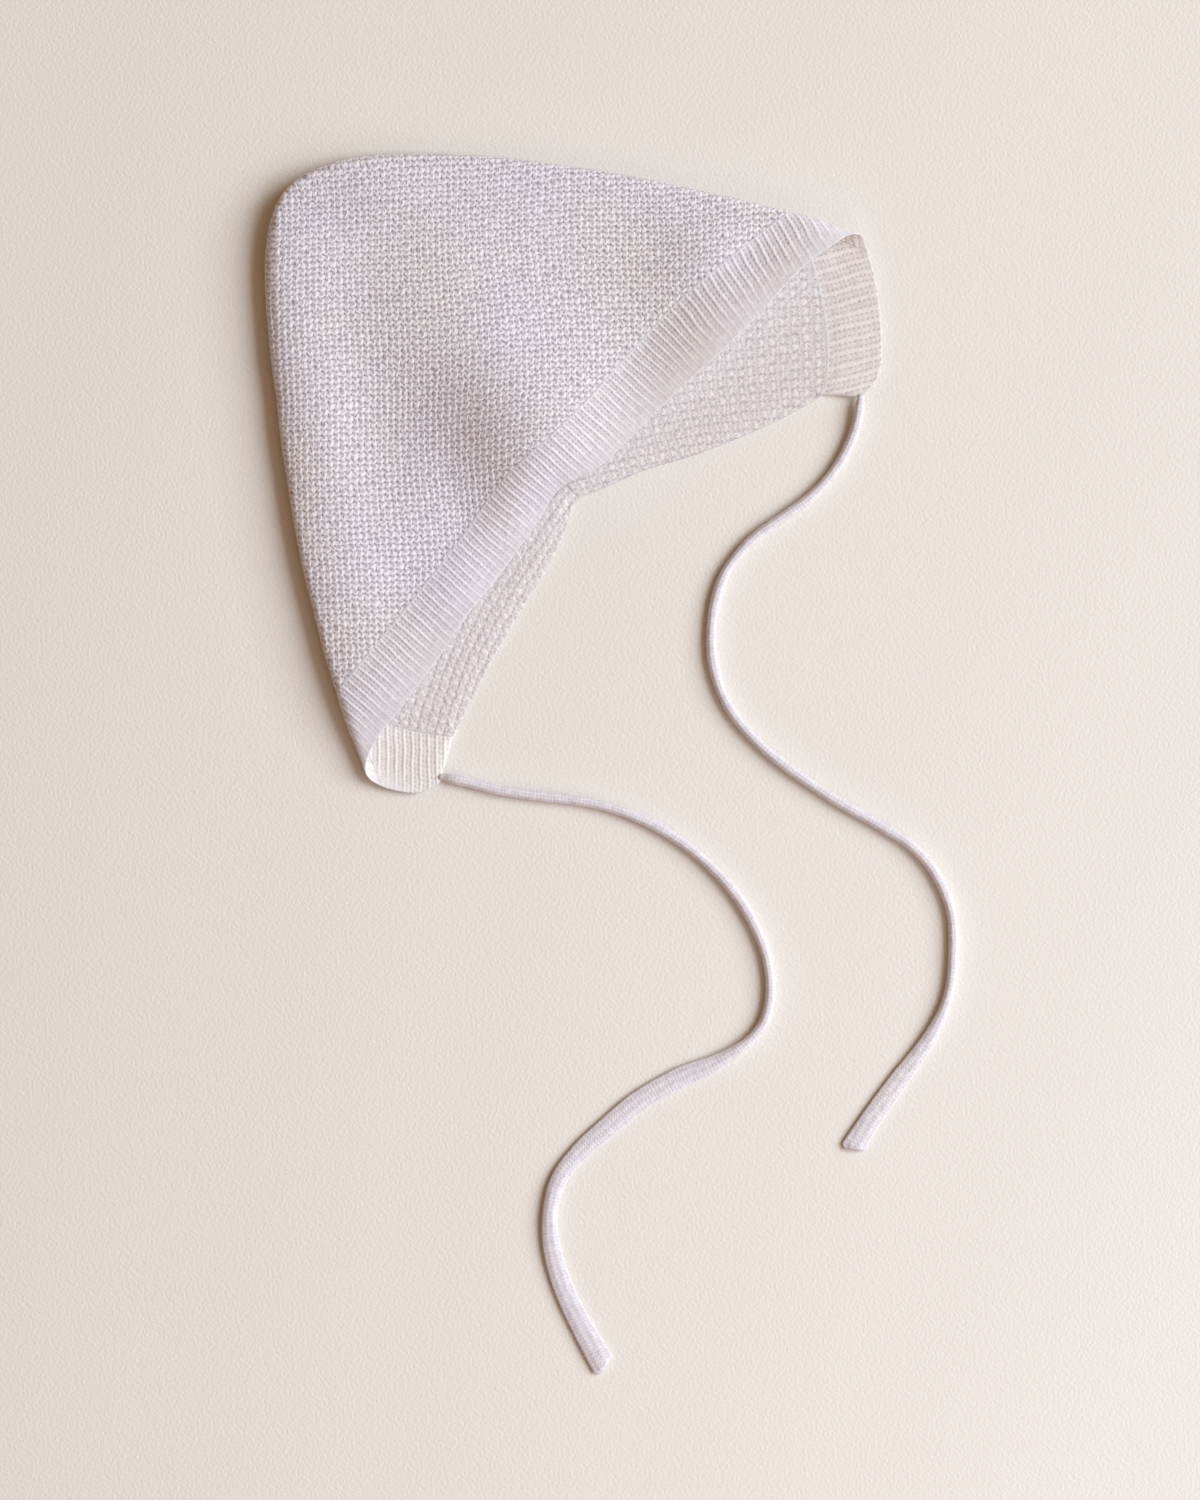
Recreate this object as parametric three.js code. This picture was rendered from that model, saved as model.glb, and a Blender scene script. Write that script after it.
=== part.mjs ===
// A knitted baby bonnet, lying flat with its two halves folded together.
//
// Frame: millimetres, +Z up, the bonnet lies on Z = 0. +Y runs from the face opening to the crown's
// tip and +X runs along the face edge. The origin is under the middle of the bonnet without its ties.
//
// The cloth is one pocket: an upper layer, a lower layer and a round fold down each side. The crown
// is a fan of lines that run from the tip to the crown's rim, one for each station around the opening.
// The ribbed face band goes on from the rim to the face edge, and a tie leaves each of its two ends.
import * as THREE from 'three';

// ---- Driving sizes ----
const WALL = 2;              // seed-stitch cloth
const BAND_WALL = 2.4;       // ribbed cloth
const FOLD_RADIUS = 4;       // middle of the cloth, at the side folds
const TIP_Y = 96.8;          // middle of the cloth, at the crown's tip
const CROWN_ROWS = 20;       // rows of faces from the tip to the rim
const BAND_ROWS = 4;         // rows of faces across the band
const STATION_STEPS = 2;     // faces between two rows of the opening table
const GAP = 0.75;            // clearance between crown and band, along the ribs
const TIE_DIAMETER = 4;
const TIE_SIDES = 8;
const TIE_STEP = 8.5;        // length of one straight piece of a tie

// ---- Materials ----
const YARN = 0xe6dedb;
const YARN_PALE = 0xeae3df;
const yarn = (color) => new THREE.MeshStandardMaterial({ color, roughness: 0.95, metalness: 0 });

// Plan of the pocket, from the tip to the neck: y, half the width between the middles of the folded
// cloth, and where its own middle is.
const PLAN = [
  { y: TIP_Y, half: 0, middle: 5.8 },
  { y: 94, half: 11.3, middle: 6.2 },
  { y: 86.3, half: 23.2, middle: 6.4 },
  { y: 72, half: 37.7, middle: 6.2 },
  { y: 52, half: 54.6, middle: 5.6 },
  { y: 30, half: 71.8, middle: 4 },
  { y: 8, half: 87.7, middle: 2.4 },
  { y: -20, half: 105.2, middle: 1 },
  { y: -58.5, half: 126.1, middle: 0 },
  { y: -100, half: 144, middle: -1 },
];

// Swells and dents of the upper layer: centre, reach along and across, turn of the long axis, height.
const SWELLS = [
  { x: 0, y: -22, along: 20, across: 17, turn: 60, height: 6.5 },      // over the middle of the face
  { x: 25, y: -32, along: 20, across: 14, turn: 0, height: 3.6 },      // the same mound, towards the right end
  { x: 88, y: -27, along: 15, across: 10, turn: 0, height: 3.6 },      // by the right end of the band
  { x: 56, y: 10, along: 24, across: 10, turn: -35, height: -1.3 },    // valley between those two
  { x: -50, y: 30, along: 44, across: 9, turn: 51, height: 1.2 },      // roll beside the left fold
  { x: -35, y: 15, along: 30, across: 12, turn: 54, height: -1.4 },    // valley inside that roll
  { x: 4, y: 57, along: 20, across: 11, turn: 0, height: -1.3 },       // dent in the crown
  { x: 30, y: 71, along: 14, across: 8, turn: -50, height: 1.3 },      // by the right fold, near the tip
  { x: -52, y: -26, along: 26, across: 9, turn: 0, height: -1.2 },     // where the band starts, left
];

// The opening, station by station. turn is the place around the cloth's section: -90 is the lower
// layer, 0 the outside of a side fold, 90 the upper layer. share is the place across the pocket,
// -1 at the left fold and 1 at the right. rim is where the crown ends. edge is the face edge.
const BAND_STATIONS = [
  { turn: -90, share: 0.56, rim: -86.5, edge: [85.1, -97.2, 3] },      // right end, at the neck
  { turn: -90, share: 0.63, rim: -81, edge: [94.6, -96.4, 3.2] },
  { turn: -90, share: 0.71, rim: -73, edge: [104.8, -88.4, 3.5] },
  { turn: -90, share: 0.81, rim: -62, edge: [114.4, -78.2, 3.8] },
  { turn: -90, share: 0.92, rim: -49, edge: [120.8, -69.6, 4.2] },
  { turn: -45, share: 1, rim: -41.5, edge: [124.2, -63.8, 5] },
  { turn: 0, share: 1, rim: -38.5, edge: [126, -60, 7] },              // right fold
  { turn: 45, share: 1, rim: -36.5, edge: [124, -57.2, 10.4] },
  { turn: 90, share: 0.99, rim: -35.3, edge: [118.5, -55.2, 13] },
  { turn: 90, share: 0.9, rim: -33.2, edge: [103, -52.2, 15] },
  { turn: 90, share: 0.76, rim: -30.5, edge: [84.5, -52, 15.2] },
  { turn: 90, share: 0.6, rim: -28.2, edge: [65, -51, 14.8] },
  { turn: 90, share: 0.4, rim: -27.8, edge: [42.5, -48.8, 14.6] },
  { turn: 90, share: 0.2, rim: -28, edge: [20.5, -47.6, 14.8] },
  { turn: 90, share: 0.06, rim: -27.2, edge: [5, -46, 13.8] },
  { turn: 90, share: -0.07, rim: -25.6, edge: [-8.5, -41.2, 11.6] },    // over the middle of the neck
  { turn: 90, share: -0.2, rim: -24.8, edge: [-22, -43.2, 9.8] },
  { turn: 90, share: -0.4, rim: -27.2, edge: [-43, -45.4, 9.6] },
  { turn: 90, share: -0.6, rim: -28.8, edge: [-64, -46.8, 10.6] },
  { turn: 90, share: -0.78, rim: -29.8, edge: [-84, -49.6, 11] },
  { turn: 90, share: -0.91, rim: -30.4, edge: [-101, -51, 11] },
  { turn: 90, share: -0.99, rim: -31, edge: [-113.5, -51.8, 10.4] },
  { turn: 45, share: -1, rim: -32, edge: [-122.4, -54.6, 8.4] },
  { turn: 0, share: -1, rim: -33.2, edge: [-126, -58.4, 5.6] },         // left fold
  { turn: -45, share: -1, rim: -35.4, edge: [-125.4, -63.4, 3.4] },
  { turn: -90, share: -0.97, rim: -40.5, edge: [-123.4, -68, 2.4] },
  { turn: -90, share: -0.84, rim: -58, edge: [-118.4, -74.8, 1.8] },
  { turn: -90, share: -0.73, rim: -71, edge: [-110.8, -78.1, 1.5] },   // left end, at the neck
];

// The neck edge, from the left end of the band to the right end, all in the lower layer.
const NECK_STATIONS = [
  { turn: -90, share: -0.64, rim: -67.2 },
  { turn: -90, share: -0.56, rim: -64.2 },
  { turn: -90, share: -0.4, rim: -59.6 },
  { turn: -90, share: -0.22, rim: -55 },
  { turn: -90, share: -0.12, rim: -50.6 },
  { turn: -90, share: -0.055, rim: -47.8 },                            // middle of the neck
  { turn: -90, share: 0.03, rim: -52.4 },
  { turn: -90, share: 0.14, rim: -58.6 },
  { turn: -90, share: 0.26, rim: -68.2 },
  { turn: -90, share: 0.4, rim: -78 },
  { turn: -90, share: 0.5, rim: -83.8 },
];

// Routes of the ties, from the band's corner to the free end.
const RIGHT_TIE = [
  [84.2, -97.8, 3], [78.5, -101.4, 2.6], [72, -104.4, 2.2], [64.6, -106.5, 2], [56, -107.5, 2],
  [46.5, -107, 2], [36.5, -104.8, 2], [26.5, -102.6, 2], [17, -102, 2], [6.5, -103.6, 2],
  [-6, -110.2, 2], [-16.4, -119.6, 2], [-23.6, -131.4, 2], [-26.8, -145, 2], [-27, -160, 2],
  [-24.6, -180, 2], [-20.5, -200, 2], [-18.2, -213, 2], [-19.8, -226.1, 2], [-26, -239, 2],
  [-37.5, -250.4, 2], [-49.3, -258.2, 2], [-63.5, -262.6, 2], [-80.9, -264.5, 2],
  [-97.8, -266.4, 2], [-109.6, -268.6, 2],
];
const LEFT_TIE = [
  [-108.7, -78, 2], [-105, -84, 2], [-99, -95.4, 2], [-91.3, -107, 2], [-83.2, -118.4, 2],
  [-76.5, -130.9, 2], [-71.8, -145.1, 2], [-69.8, -162, 2], [-71.2, -180, 2], [-77, -196.6, 2],
  [-85.1, -208.3, 2], [-95, -215.6, 2], [-105.1, -217.1, 2], [-118, -213.8, 2], [-131, -207.8, 2],
  [-146, -202.9, 2], [-160, -200.8, 2], [-173, -199.4, 2], [-185.4, -200.4, 2], [-196, -206, 2],
  [-204.6, -214.8, 2], [-212.4, -227.8, 2], [-218.4, -243, 2], [-222.6, -255.5, 2],
];

// ---- Helpers ----
const radians = (degrees) => (degrees * Math.PI) / 180;

// Smooth value through four numbers, at t from the second to the third.
function smooth(a, b, c, d, t) {
  const slopeB = (c - a) / 2;
  const slopeC = (d - b) / 2;
  const t2 = t * t;
  const t3 = t2 * t;
  return b * (2 * t3 - 3 * t2 + 1) + slopeB * (t3 - 2 * t2 + t) + c * (3 * t2 - 2 * t3) + slopeC * (t3 - t2);
}

// Depth below the tip, as a root, so that the rounded tip gets closer rows.
const rootDepth = (y) => Math.sqrt(Math.max(TIP_Y - y, 0));
const yAtRoot = (root) => TIP_Y - root * root;

// Half width and middle of the pocket at y, blended between the plan's rows in root depth.
function planAt(y) {
  const root = rootDepth(y);
  let k = 1;
  while (k < PLAN.length - 1 && rootDepth(PLAN[k].y) < root) k += 1;
  const low = PLAN[k - 1];
  const high = PLAN[k];
  const t = (root - rootDepth(low.y)) / (rootDepth(high.y) - rootDepth(low.y));
  const before = PLAN[Math.max(k - 2, 0)];
  const after = PLAN[Math.min(k + 1, PLAN.length - 1)];
  return {
    half: smooth(k === 1 ? -high.half : before.half, low.half, high.half, after.half, t),
    middle: THREE.MathUtils.lerp(low.middle, high.middle, t),
  };
}

// Height of the upper layer's swells at a place.
function swellAt(x, y) {
  let height = 0;
  for (const swell of SWELLS) {
    const turn = radians(swell.turn);
    const dx = x - swell.x;
    const dy = y - swell.y;
    const along = (dx * Math.cos(turn) + dy * Math.sin(turn)) / swell.along;
    const across = (dy * Math.cos(turn) - dx * Math.sin(turn)) / swell.across;
    height += swell.height * Math.exp(-(along * along + across * across) / 2);
  }
  return height;
}

// Middle of the crown's cloth at a station's turn and share, at y.
function crownPoint(station, y) {
  const { half, middle } = planAt(y);
  const fold = FOLD_RADIUS * Math.tanh(half / FOLD_RADIUS);
  const turn = radians(station.turn);
  const x = middle + (half - fold) * station.share + fold * Math.cos(turn) * Math.sign(station.share);
  const z = WALL / 2 + FOLD_RADIUS + fold * Math.sin(turn);
  const upper = Math.max(Math.sin(turn), 0) * (1 - station.share ** 4) * Math.tanh(half / 20);
  return new THREE.Vector3(x, y, z + upper * swellAt(x, y));
}

// Stations with their in-between steps: every number of a row is blended smoothly with its neighbours.
function refine(rows) {
  const last = rows.length - 1;
  const row = (k) => rows[THREE.MathUtils.clamp(k, 0, last)];
  const stations = [];
  for (let k = 0; k < last; k += 1) {
    for (let step = 0; step < STATION_STEPS; step += 1) {
      const blend = (pick) => {
        const near = [row(k - 1), row(k), row(k + 1), row(k + 2)].map(pick);
        return smooth(...near, step / STATION_STEPS);
      };
      stations.push({
        turn: blend((r) => r.turn),
        share: THREE.MathUtils.clamp(blend((r) => r.share), -1, 1),
        rim: blend((r) => r.rim),
        edge: rows[k].edge && rows[k + 1].edge && [0, 1, 2].map((axis) => blend((r) => r.edge[axis])),
      });
    }
  }
  return [...stations, rows[last]];
}

// Middle of the band's cloth: it leaves the rim along the crown's slope and bends to the face edge.
function bandPoint(station, share) {
  const rim = crownPoint(station, station.rim);
  rim.z += (BAND_WALL - WALL) / 2;
  const beyond = crownPoint(station, station.rim - 1);
  const slope = beyond.z + (BAND_WALL - WALL) / 2 - rim.z;
  const edge = new THREE.Vector3(...station.edge);
  const run = Math.hypot(edge.x - rim.x, edge.y - rim.y);
  const first = GAP / run;
  const t = first + (1 - first) * share;
  const point = rim.clone().lerp(edge, t);
  const early = slope * run - (edge.z - rim.z);
  point.z += early * t * (1 - t) ** 2;
  return point;
}

// Closed shell about a grid of points on the middle of the cloth. grid[i][j] goes around with i and
// down from the tip with j. Only rows from first to last become cloth: a row outside them is there
// for the slope. A pole means that the first row is all one point.
function clothShell(grid, wall, { around, pole, first, last }) {
  const columns = grid.length;
  const column = (i) => (around ? (i + columns) % columns : THREE.MathUtils.clamp(i, 0, columns - 1));
  const row = (j) => THREE.MathUtils.clamp(j, 0, grid[0].length - 1);
  const normals = grid.map((line, i) => line.map((_, j) => {
    const acrossCloth = grid[column(i + 1)][j].clone().sub(grid[column(i - 1)][j]);
    const downCloth = line[row(j + 1)].clone().sub(line[row(j - 1)]);
    return acrossCloth.cross(downCloth).normalize();
  }));
  if (pole) {
    const sum = new THREE.Vector3();
    normals.forEach((line) => sum.add(line[1]));
    normals.forEach((line) => line[0].copy(sum).normalize());
  }
  const positions = [];
  const put = (i, j, side) => {
    const point = grid[i][j].clone().addScaledVector(normals[i][j], (side * wall) / 2);
    return positions.push(point.x, point.y, point.z) / 3 - 1;
  };
  const [outer, inner] = [1, -1].map((side) => {
    const poleIndex = pole ? put(0, 0, side) : null;
    return grid.map((line, i) => line.map((_, j) => {
      if (j < first || j > last) return null;
      return pole && j === 0 ? poleIndex : put(i, j, side);
    }));
  });
  const faces = [];
  const quad = (a, b, c, d) => {
    if (a !== b) faces.push(a, b, c);
    if (c !== d) faces.push(a, c, d);
  };
  for (let i = 0; i < (around ? columns : columns - 1); i += 1) {
    const next = column(i + 1);
    for (let j = first; j < last; j += 1) {
      quad(outer[i][j], outer[next][j], outer[next][j + 1], outer[i][j + 1]);
      quad(inner[next][j], inner[i][j], inner[i][j + 1], inner[next][j + 1]);
    }
    quad(outer[i][last], outer[next][last], inner[next][last], inner[i][last]);
    if (!pole) quad(inner[i][first], inner[next][first], outer[next][first], outer[i][first]);
  }
  if (!around) {
    const end = columns - 1;
    for (let j = first; j < last; j += 1) {
      quad(inner[0][j], outer[0][j], outer[0][j + 1], inner[0][j + 1]);
      quad(outer[end][j], inner[end][j], inner[end][j + 1], outer[end][j + 1]);
    }
  }
  const geometry = new THREE.BufferGeometry();
  geometry.setAttribute('position', new THREE.Float32BufferAttribute(positions, 3));
  geometry.setIndex(faces);
  geometry.computeVertexNormals();
  return geometry;
}

// Point on the crown's line of a station: share 0 at the tip, 1 at the rim.
const crownLine = (station, share) => crownPoint(station, yAtRoot(rootDepth(station.rim) * share));

// Seed-stitch crown: a hollow pocket, open at the face and the neck.
function crown() {
  const bandSide = refine(BAND_STATIONS);
  const neckSide = refine([BAND_STATIONS.at(-1), ...NECK_STATIONS, BAND_STATIONS[0]]).slice(1, -1);
  const grid = [...bandSide, ...neckSide].map((station) => {
    const line = [];
    for (let j = 0; j <= CROWN_ROWS; j += 1) line.push(crownLine(station, j / CROWN_ROWS));
    const beyond = station.edge ? bandPoint(station, 1 / BAND_ROWS) : crownLine(station, 1 + 1 / CROWN_ROWS);
    return [...line, beyond];
  });
  return clothShell(grid, WALL, { around: true, pole: true, first: 0, last: CROWN_ROWS });
}

// Ribbed band along the face edge, from the right tie's corner to the left tie's corner.
function faceBand() {
  const grid = refine(BAND_STATIONS).map((station) => {
    const line = [crownLine(station, 1 - 1 / CROWN_ROWS)];
    for (let j = 0; j <= BAND_ROWS; j += 1) line.push(bandPoint(station, j / BAND_ROWS));
    return line;
  });
  return clothShell(grid, BAND_WALL, { around: false, pole: false, first: 1, last: BAND_ROWS + 1 });
}

// A tie: a round knitted cord along its route.
function tie(route) {
  const curve = new THREE.CatmullRomCurve3(route.map((point) => new THREE.Vector3(...point)));
  const section = new THREE.Shape();
  for (let side = 0; side < TIE_SIDES; side += 1) {
    const angle = ((side + 0.5) * 2 * Math.PI) / TIE_SIDES;
    const radius = TIE_DIAMETER / 2;
    if (side === 0) section.moveTo(radius * Math.cos(angle), radius * Math.sin(angle));
    else section.lineTo(radius * Math.cos(angle), radius * Math.sin(angle));
  }
  section.closePath();
  return new THREE.ExtrudeGeometry(section, {
    steps: Math.round(curve.getLength() / TIE_STEP),
    extrudePath: curve,
    curveSegments: 1,
  });
}

// ---- Assembly ----
const bonnet = new THREE.Group();
function add(name, geometry, color) {
  const mesh = new THREE.Mesh(geometry, yarn(color));
  mesh.name = name;
  bonnet.add(mesh);
}
add('crown', crown(), YARN);
add('face_band', faceBand(), YARN_PALE);
add('right_tie', tie(RIGHT_TIE), YARN_PALE);
add('left_tie', tie(LEFT_TIE), YARN_PALE);

export default bonnet;
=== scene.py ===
"""A knitted baby bonnet, lying flat with its two halves folded together, beside its two loose ties.

Metres, +Z up. +Y runs from the face opening to the crown's tip and +X along the face edge. The crown is
a pocket of seed stitch: an upper layer, a lower layer and a round fold down each side. Stations go
around its opening, and a line runs down from the tip to the rim at each of them. The ribbed face band
goes on from the rim to the face edge, and a tie leaves each of the band's two ends.
"""

import math

import bmesh
import bpy
import numpy as np
from mathutils import Matrix, Vector


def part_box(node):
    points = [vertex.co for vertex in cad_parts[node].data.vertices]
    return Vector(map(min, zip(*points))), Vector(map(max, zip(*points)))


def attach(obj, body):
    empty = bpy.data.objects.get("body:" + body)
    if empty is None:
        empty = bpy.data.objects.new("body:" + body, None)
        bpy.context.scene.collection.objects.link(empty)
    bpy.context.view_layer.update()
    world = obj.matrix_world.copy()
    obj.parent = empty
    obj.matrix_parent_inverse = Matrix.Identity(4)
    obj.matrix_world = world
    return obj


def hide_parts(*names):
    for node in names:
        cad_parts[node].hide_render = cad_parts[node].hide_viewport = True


bl_info = {
    "name": "Knitted Baby Bonnet",
    "version": (1, 0, 0),
    "blender": (4, 5, 0),
    "location": "3D View > Sidebar > Bonnet",
    "description": "Builds a knitted baby bonnet with a ribbed face band and two long ties",
    "category": "Add Mesh",
}

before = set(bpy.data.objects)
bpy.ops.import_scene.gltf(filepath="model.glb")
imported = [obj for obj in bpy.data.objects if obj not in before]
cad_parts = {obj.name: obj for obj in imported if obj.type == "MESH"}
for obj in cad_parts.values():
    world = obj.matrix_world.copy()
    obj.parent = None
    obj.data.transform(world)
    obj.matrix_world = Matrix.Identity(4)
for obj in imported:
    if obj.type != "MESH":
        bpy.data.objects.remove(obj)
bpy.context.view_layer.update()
CROWN_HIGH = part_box("crown")[1]

# ---- The form of the cloth ----
WALL = 0.002            # seed-stitch cloth
BAND_WALL = 0.0024      # ribbed cloth
FOLD_RADIUS = 0.004     # middle of the cloth at the side folds, upwards
FOLD_WIDTH = 0.0014     # the same, sideways: the folds are pressed flat
SAG = 0.0013            # how much lower the upper layer lies at a fold than beside it
SAG_POWER = 16          # how narrow that low strip is: it goes with this power of the share across
RIGHT_SAG = (-0.03, 0.02)   # y between which the right fold comes to sag; the left one sags all along
TIP_Y = CROWN_HIGH.y - WALL / 2
REST = 0.0001           # lowest that any yarn lies
SEAM_GAP = 0.00003      # between the crown's rim and the band's first course
EDGE_ROW = 0.0003       # share down the crown between its last two rows, which keep the rim square
LIFT_WIDTH = 0.020      # half width at which the swells reach their full height
LIFT_POWER = 4          # how closely the swells reach up to the side folds
RIM_STEP = 0.001        # length over which the crown's slope at its rim is measured
NECK_THINNING = 0.6     # share of the wall that is gone at the neck edge
NECK_BLEND = 0.4        # part of a station over which the neck edge turns into the band's corner

# Plan of the pocket, from the tip to the neck: y, half the width, and where its own middle is.
PLAN = np.array([
    (TIP_Y, 0, 0.0058),
    (0.094, 0.0113, 0.0062),
    (0.0863, 0.0232, 0.0064),
    (0.072, 0.0377, 0.0062),
    (0.052, 0.0546, 0.0056),
    (0.03, 0.0718, 0.004),
    (0.008, 0.0877, 0.0024),
    (-0.02, 0.1052, 0.001),
    (-0.0585, 0.1261, 0),
    (-0.1, 0.144, -0.001),
])

# Swells and dents of the upper layer: x, y, reach along and across, turn of the long axis, height.
SWELLS = [
    (0, 0.035, 0.055, 0.028, 0, 0.0012),            # the whole crown
    (0, -0.022, 0.020, 0.017, 60, 0.0065),          # over the middle of the face
    (0.002, 0.003, 0.018, 0.014, 60, 0.0018),       # the same mound, towards the tip
    (0.023, -0.032, 0.018, 0.014, 0, 0.0034),       # and towards the right end
    (0.044, -0.024, 0.016, 0.016, 0, -0.0013),      # where it ends
    (0.088, -0.027, 0.015, 0.010, 0, 0.0036),       # by the right end of the band
    (0.056, 0.01, 0.024, 0.010, -35, -0.0013),      # valley between those two
    (0.082, 0.02, 0.022, 0.015, -50, -0.001),       # dent by the right fold
    (-0.05, 0.03, 0.044, 0.009, 51, 0.0012),        # roll beside the left fold
    (-0.036, 0.02, 0.030, 0.013, 54, -0.002),       # valley inside that roll
    (0.004, 0.057, 0.020, 0.011, 0, -0.0009),       # dent in the crown
    (0.03, 0.071, 0.014, 0.008, -50, 0.0013),       # by the right fold, near the tip
    (-0.052, -0.026, 0.026, 0.009, 0, -0.0012),     # where the band starts, left
    (-0.031, -0.018, 0.020, 0.009, 60, -0.0012),    # foot of the mound
]

# The opening: turn around the cloth's section (-90 lower layer, 0 side fold, 90 upper layer), share
# across the pocket (-1 left fold, 1 right fold), rim where the crown ends, and x, y, z of the edge.
BAND_STATIONS = np.array([
    (-90, 0.56, -0.0865, 0.0851, -0.0972, 0.003),       # right end, at the neck
    (-90, 0.63, -0.081, 0.0946, -0.0964, 0.0032),
    (-90, 0.71, -0.073, 0.1048, -0.0884, 0.0035),
    (-90, 0.81, -0.062, 0.1144, -0.0782, 0.0038),
    (-90, 0.92, -0.049, 0.1208, -0.0696, 0.0042),
    (-45, 1, -0.0415, 0.1242, -0.0638, 0.005),
    (0, 1, -0.0385, 0.126, -0.06, 0.007),               # right fold
    (45, 1, -0.0365, 0.124, -0.0572, 0.0104),
    (90, 0.99, -0.0353, 0.1185, -0.0552, 0.013),
    (90, 0.9, -0.0332, 0.103, -0.0522, 0.015),
    (90, 0.76, -0.0305, 0.0845, -0.052, 0.0154),
    (90, 0.6, -0.0282, 0.065, -0.051, 0.0153),
    (90, 0.4, -0.0278, 0.0425, -0.0488, 0.0155),
    (90, 0.2, -0.028, 0.0205, -0.0476, 0.016),
    (90, 0.06, -0.0272, 0.005, -0.046, 0.015),
    (90, -0.07, -0.0256, -0.0085, -0.0412, 0.0126),     # over the middle of the neck
    (90, -0.2, -0.0248, -0.022, -0.0432, 0.0095),
    (90, -0.4, -0.0272, -0.043, -0.0454, 0.0087),
    (90, -0.6, -0.0288, -0.064, -0.0468, 0.0106),
    (90, -0.78, -0.0298, -0.084, -0.0496, 0.0104),
    (90, -0.91, -0.0304, -0.101, -0.051, 0.0094),
    (90, -0.99, -0.031, -0.1135, -0.0518, 0.0076),
    (45, -1, -0.032, -0.1224, -0.0546, 0.006),
    (0, -1, -0.0332, -0.126, -0.0584, 0.0042),          # left fold
    (-45, -1, -0.0354, -0.1254, -0.0634, 0.0029),
    (-90, -0.97, -0.0405, -0.1234, -0.068, 0.0024),
    (-90, -0.84, -0.058, -0.1184, -0.0748, 0.0018),
    (-90, -0.73, -0.071, -0.1108, -0.0781, 0.0015),     # left end, at the neck
])

# The neck edge from the left end of the band to the right end: turn, share, rim.
NECK_STATIONS = np.array([
    (-90, -0.64, -0.0672),
    (-90, -0.56, -0.0642),
    (-90, -0.4, -0.0596),
    (-90, -0.22, -0.055),
    (-90, -0.12, -0.0506),
    (-90, -0.055, -0.0478),                             # middle of the neck
    (-90, 0.03, -0.0524),
    (-90, 0.14, -0.0586),
    (-90, 0.26, -0.0682),
    (-90, 0.4, -0.078),
    (-90, 0.5, -0.0838),
])
MIDDLE_STATION = 13     # row of the band that is nearest the line from the tip to the neck
BAND_END = len(BAND_STATIONS) - 1
RING_END = BAND_END + len(NECK_STATIONS) + 1
NECK_SIDE = np.vstack([BAND_STATIONS[-1:, :3], NECK_STATIONS, BAND_STATIONS[:1, :3]])

# Routes of the ties, from the band's corner to the free end. They lie on the floor but for the first points.
LAID = 0.002            # middle of a tie that lies on the floor
RIGHT_ROUTE = [
    (0.0856, -0.0966, 0.003), (0.0785, -0.1014, 0.0026), (0.072, -0.1044, 0.0022),
    (0.0646, -0.1065, LAID), (0.056, -0.1075, LAID), (0.0465, -0.107, LAID), (0.0365, -0.1048, LAID),
    (0.0265, -0.1026, LAID), (0.017, -0.102, LAID), (0.0065, -0.1036, LAID), (-0.006, -0.1102, LAID),
    (-0.0164, -0.1196, LAID), (-0.0236, -0.1314, LAID), (-0.0268, -0.145, LAID), (-0.027, -0.16, LAID),
    (-0.0246, -0.18, LAID), (-0.0205, -0.2, LAID), (-0.0182, -0.213, LAID), (-0.0198, -0.2261, LAID),
    (-0.026, -0.239, LAID), (-0.0375, -0.2504, LAID), (-0.0493, -0.2582, LAID), (-0.0635, -0.2626, LAID),
    (-0.0809, -0.2645, LAID), (-0.0978, -0.2664, LAID), (-0.1096, -0.2686, LAID),
]
LEFT_ROUTE = [
    (-0.1096, -0.0766, LAID), (-0.105, -0.084, LAID), (-0.099, -0.0954, LAID), (-0.0913, -0.107, LAID),
    (-0.0832, -0.1184, LAID), (-0.0765, -0.1309, LAID), (-0.0718, -0.1451, LAID), (-0.0698, -0.162, LAID),
    (-0.0712, -0.18, LAID), (-0.077, -0.1966, LAID), (-0.0851, -0.2083, LAID), (-0.095, -0.2156, LAID),
    (-0.1051, -0.2171, LAID), (-0.118, -0.2138, LAID), (-0.131, -0.2078, LAID), (-0.146, -0.2029, LAID),
    (-0.16, -0.2008, LAID), (-0.173, -0.1994, LAID), (-0.1854, -0.2004, LAID), (-0.196, -0.206, LAID),
    (-0.2046, -0.2148, LAID), (-0.2124, -0.2278, LAID), (-0.2184, -0.243, LAID), (-0.2226, -0.2555, LAID),
]

# ---- The lie of the stitches ----
WALE = 0.00155          # width of one stitch
COURSE = 0.00147        # height of one stitch
UPPER_FADE = -55        # turn below which the outside belongs to the lower layer
FOLD_RUN = (0.95, 0.24)     # how the stitches go on over a fold, sideways and back, for each metre of cloth
FANS_MEET = 0.006       # how far left of the middle the lower layer's two fans meet
SEED_SWAY = 0.00012     # how far a stitch of the crown is out of place beside its neighbours
SEED_DRIFT = 0.0007     # and how far whole patches of them are
RIB_SWAY = 0.00016      # how far a stitch of the band is out of place

# Columns of stitches in the lower layer run round these centres: x, y, radius, stretch of the courses.
RIGHT_FAN = (-0.180, -0.337, 0.337, 1.17)
LEFT_FAN = (-0.006, -0.245, 0.197, 1.19)

# Ribs in the lower layer: their direction and how close together they are, for the right and the left end.
LOWER_RIB_WAY = {1: math.radians(-34), -1: math.radians(-138)}
LOWER_RIB_CLOSE = {1: 0.68, -1: 1}

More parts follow.
